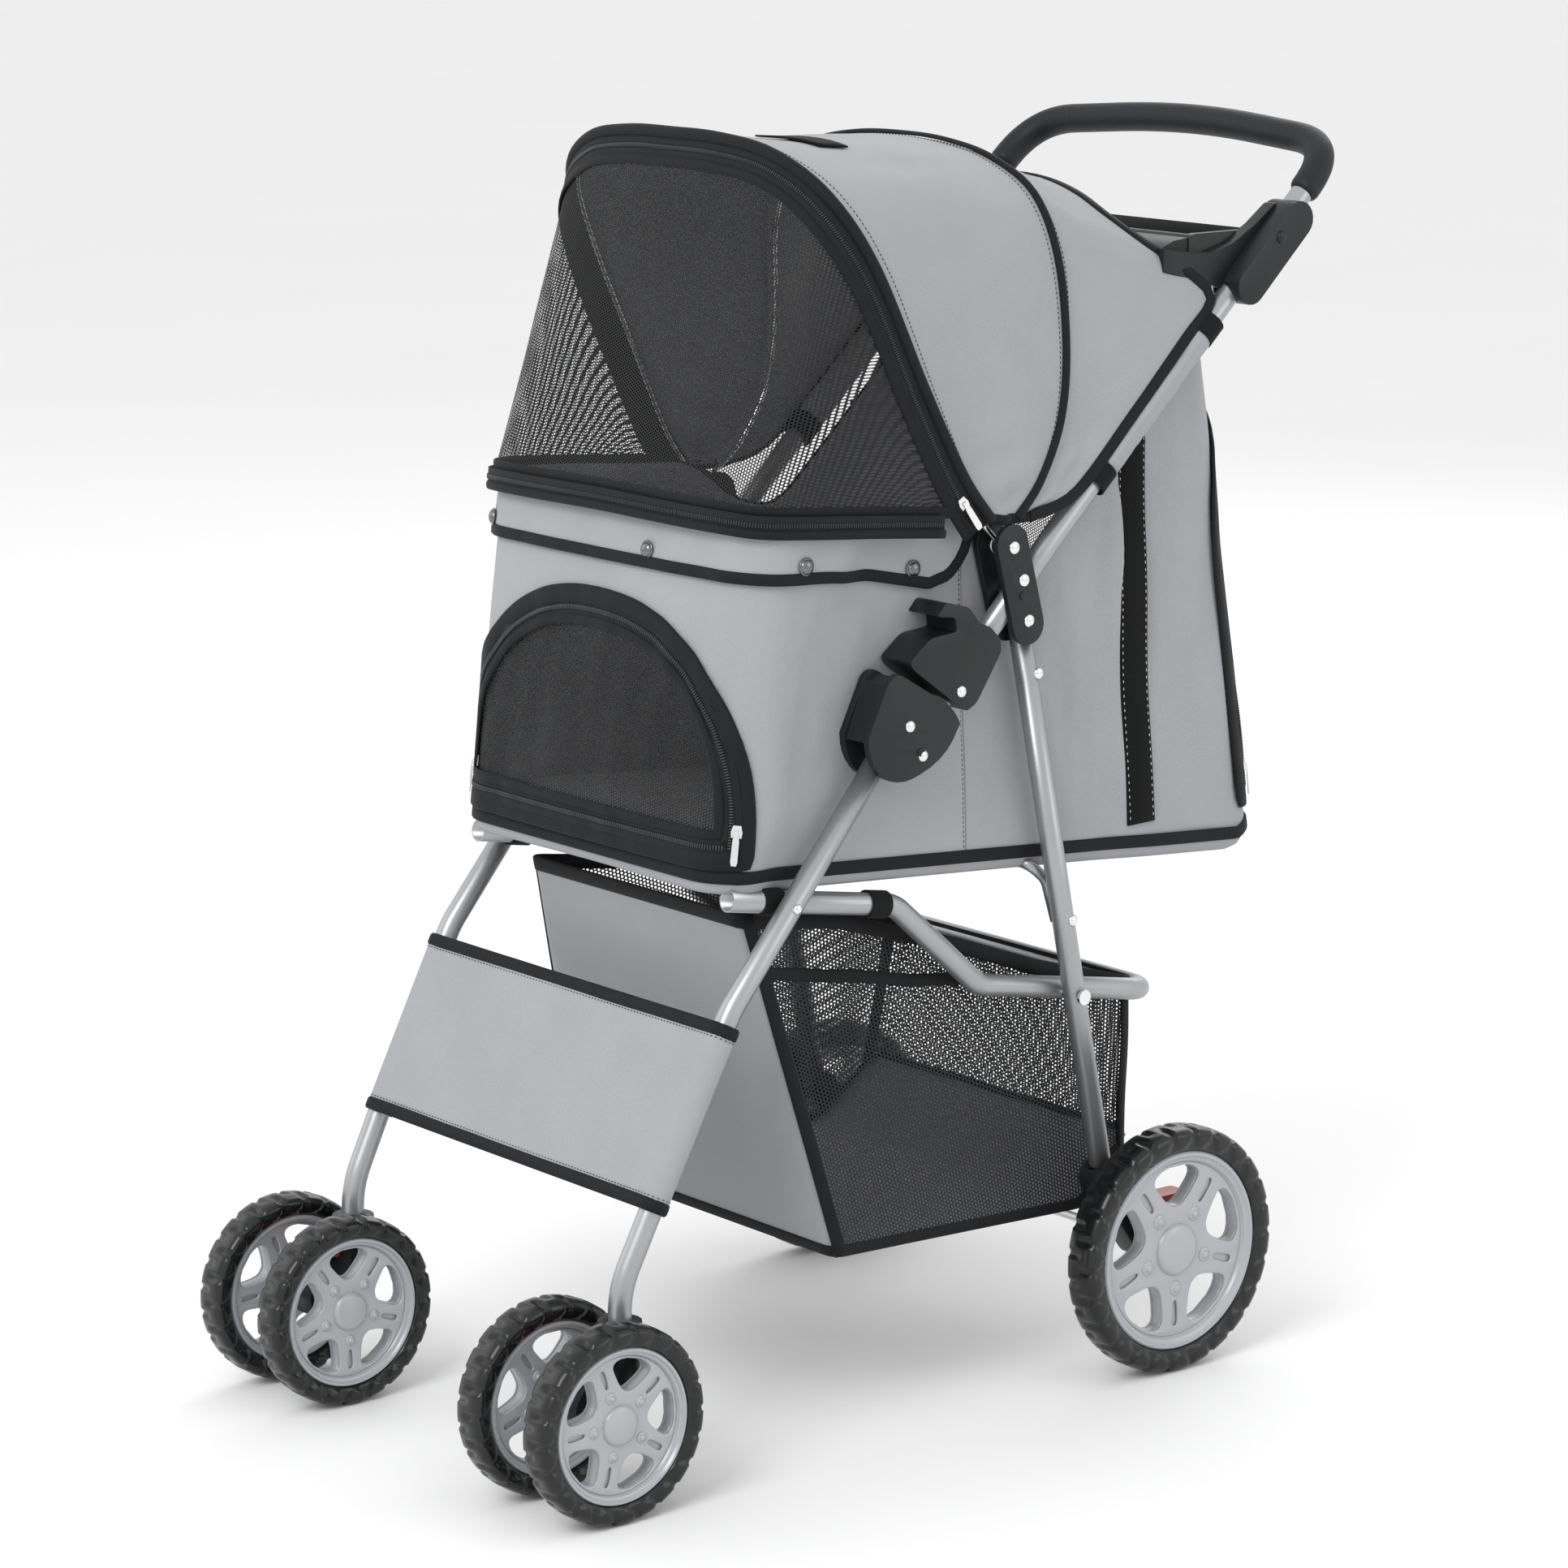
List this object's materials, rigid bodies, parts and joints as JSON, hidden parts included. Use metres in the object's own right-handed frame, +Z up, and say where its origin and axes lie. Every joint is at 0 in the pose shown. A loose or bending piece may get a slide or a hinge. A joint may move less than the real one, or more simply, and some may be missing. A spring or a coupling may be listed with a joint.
{
  "type": "pet stroller",
  "caption": "Folding pet stroller: cloth cabin with mesh window, doors and folding canopy on a tube frame with tray handle, basket, twin swivel casters and braked rear wheels.",
  "frame": {"origin": "on the floor, under the middle of the whole stroller as it stands open", "axes": "+Z up, -Y is the front (travel direction), +X is the stroller's left-to-right axis, positive on the side seen first in the reference view"},
  "size_m": [0.4134, 0.763, 0.887],
  "materials": {
    "silver_tube": "satin silver powder coat",
    "steel": "zinc plated",
    "grey_cloth": "matt canvas weave polyester",
    "black_mesh": "open weave mesh",
    "black_binding": "ribbed binding tape",
    "black_plastic": "fine textured",
    "foam": "matt foam",
    "tyre": "semi gloss",
    "rim_plastic": "satin grey",
    "red_plastic": "gloss"
  },
  "bodies": {
    "rear_frame": {"rear_leg_left": "silver_tube", "rear_leg_right": "silver_tube", "axle_bracket_left": "black_plastic", "axle_bracket_right": "black_plastic", "rear_axle": "steel", "floor_hoop": "silver_tube", "seat_pivot_pin_left": "steel", "seat_pivot_pin_right": "steel"},
    "handle": {"handle_tube": "silver_tube", "foam_grip": "foam", "tray": "black_plastic", "joint_bracket_left": "black_plastic", "joint_bracket_right": "black_plastic", "canopy_rear_panel": "grey_cloth"},
    "front_frame": {"front_leg_left": "silver_tube", "front_leg_right": "silver_tube", "lock_base_left": "black_plastic", "lock_base_right": "black_plastic", "footrest_band": "grey_cloth"},
    "seat": {"seat_tube": "silver_tube", "cabin_shell": "grey_cloth", "floor_board": "black_binding", "cushion": "grey_cloth", "front_flap": "grey_cloth", "basket": "black_mesh", "basket_liner": "grey_cloth"},
    "front_door": {"front_door": "black_mesh"},
    "rear_door": {"rear_door": "black_mesh"},
    "hoop_front": {"hoop_front": "steel", "canopy_front_panel": "grey_cloth", "window_mesh": "black_mesh"},
    "hoop_middle": {"hoop_middle": "steel"},
    "caster_left": {"caster_fork_left": "black_plastic", "front_axle_left": "steel"},
    "swivel_tab_left": {"swivel_tab_left": "red_plastic"},
    "lock_collar_left": {"lock_collar_left": "black_plastic"},
    "brake_pedal_left": {"brake_pedal_left": "red_plastic"},
    "front_wheel_left_outer": {"front_left_outer_tyre": "tyre", "front_left_outer_rim": "rim_plastic"},
    "front_wheel_left_inner": {"front_left_inner_tyre": "tyre", "front_left_inner_rim": "rim_plastic"},
    "rear_wheel_left": {"rear_left_tyre": "tyre", "rear_left_rim": "rim_plastic"},
    "caster_right": {"caster_fork_right": "black_plastic", "front_axle_right": "steel"},
    "swivel_tab_right": {"swivel_tab_right": "red_plastic"},
    "lock_collar_right": {"lock_collar_right": "black_plastic"},
    "brake_pedal_right": {"brake_pedal_right": "red_plastic"},
    "front_wheel_right_outer": {"front_right_outer_tyre": "tyre", "front_right_outer_rim": "rim_plastic"},
    "front_wheel_right_inner": {"front_right_inner_tyre": "tyre", "front_right_inner_rim": "rim_plastic"},
    "rear_wheel_right": {"rear_right_tyre": "tyre", "rear_right_rim": "rim_plastic"}
  },
  "joints": [
    {"name": "fold", "type": "hinge", "parent": "rear_frame", "child": "handle", "pos_m": [0, 0.0625, 0.5545], "axis": [-1, 0, 0], "range_deg": [0, 59], "deforming": ["cabin_shell", "basket", "basket_liner", "footrest_band"]},
    {"name": "front_leg_fold", "type": "hinge", "parent": "handle", "child": "front_frame", "pos_m": [0, -0.038, 0.4771], "axis": [1, 0, 0], "range_deg": [0, 93]},
    {"name": "seat_fold", "type": "hinge", "parent": "rear_frame", "child": "seat", "pos_m": [0, 0.11965, 0.2805], "axis": [-1, 0, 0], "range_deg": [0, 20.9]},
    {"name": "front_door_swing", "type": "hinge", "parent": "seat", "child": "front_door", "pos_m": [0, -0.1789, 0.413], "axis": [-1, 0, 0], "range_deg": [-105, 0], "deforming": ["front_door"]},
    {"name": "rear_door_swing", "type": "hinge", "parent": "seat", "child": "rear_door", "pos_m": [0, 0.315, 0.3995], "axis": [1, 0, 0], "range_deg": [-120, 0], "deforming": ["rear_door"]},
    {"name": "canopy_fold", "type": "hinge", "parent": "handle", "child": "hoop_front", "pos_m": [0, 0.047, 0.6078], "axis": [1, 0, 0], "range_deg": [-50, 0], "deforming": ["canopy_front_panel", "window_mesh", "canopy_rear_panel"]},
    {"name": "hoop_middle_fold", "type": "hinge", "parent": "handle", "child": "hoop_middle", "pos_m": [0, 0.047, 0.6078], "axis": [1, 0, 0], "range_deg": [-17.5, 0]},
    {"name": "caster_swivel_left", "type": "hinge", "parent": "front_frame", "child": "caster_left", "pos_m": [-0.156, -0.281, 0.11], "axis": [0, 0, 1], "continuous": true},
    {"name": "front_spin_left_outer", "type": "hinge", "parent": "caster_left", "child": "front_wheel_left_outer", "pos_m": [-0.156, -0.314, 0.0675], "axis": [1, 0, 0], "continuous": true},
    {"name": "front_spin_left_inner", "type": "hinge", "parent": "caster_left", "child": "front_wheel_left_inner", "pos_m": [-0.156, -0.314, 0.0675], "axis": [1, 0, 0], "continuous": true},
    {"name": "rear_spin_left", "type": "hinge", "parent": "rear_frame", "child": "rear_wheel_left", "pos_m": [-0.1917, 0.186, 0.09], "axis": [1, 0, 0], "continuous": true},
    {"name": "swivel_lock_left", "type": "hinge", "parent": "caster_left", "child": "swivel_tab_left", "pos_m": [-0.156, -0.303, 0.1], "axis": [-1, 0, 0], "range_deg": [0, 20]},
    {"name": "lock_slide_left", "type": "slide", "parent": "handle", "child": "lock_collar_left", "axis": [0, 0.7047, 0.7095], "range_m": [0, 0.01], "stiffness_N_per_m": 400},
    {"name": "brake_left", "type": "hinge", "parent": "rear_frame", "child": "brake_pedal_left", "pos_m": [-0.16, 0.19, 0.113], "axis": [-1, 0, 0], "range_deg": [0, 14]},
    {"name": "caster_swivel_right", "type": "hinge", "parent": "front_frame", "child": "caster_right", "pos_m": [0.156, -0.281, 0.11], "axis": [0, 0, 1], "continuous": true},
    {"name": "front_spin_right_outer", "type": "hinge", "parent": "caster_right", "child": "front_wheel_right_outer", "pos_m": [0.156, -0.314, 0.0675], "axis": [1, 0, 0], "continuous": true},
    {"name": "front_spin_right_inner", "type": "hinge", "parent": "caster_right", "child": "front_wheel_right_inner", "pos_m": [0.156, -0.314, 0.0675], "axis": [1, 0, 0], "continuous": true},
    {"name": "rear_spin_right", "type": "hinge", "parent": "rear_frame", "child": "rear_wheel_right", "pos_m": [0.1917, 0.186, 0.09], "axis": [1, 0, 0], "continuous": true},
    {"name": "swivel_lock_right", "type": "hinge", "parent": "caster_right", "child": "swivel_tab_right", "pos_m": [0.156, -0.303, 0.1], "axis": [-1, 0, 0], "range_deg": [0, 20]},
    {"name": "lock_slide_right", "type": "slide", "parent": "handle", "child": "lock_collar_right", "axis": [0, 0.7047, 0.7095], "range_m": [0, 0.01], "stiffness_N_per_m": 400},
    {"name": "brake_right", "type": "hinge", "parent": "rear_frame", "child": "brake_pedal_right", "pos_m": [0.16, 0.19, 0.113], "axis": [-1, 0, 0], "range_deg": [0, 14]}
  ],
  "couplings": [
    {"joint": "front_leg_fold", "follows": "fold", "ratio": 1.5678},
    {"joint": "seat_fold", "follows": "fold", "ratio": 0.3458},
    {"joint": "hoop_middle_fold", "follows": "canopy_fold", "ratio": 0.34}
  ]
}
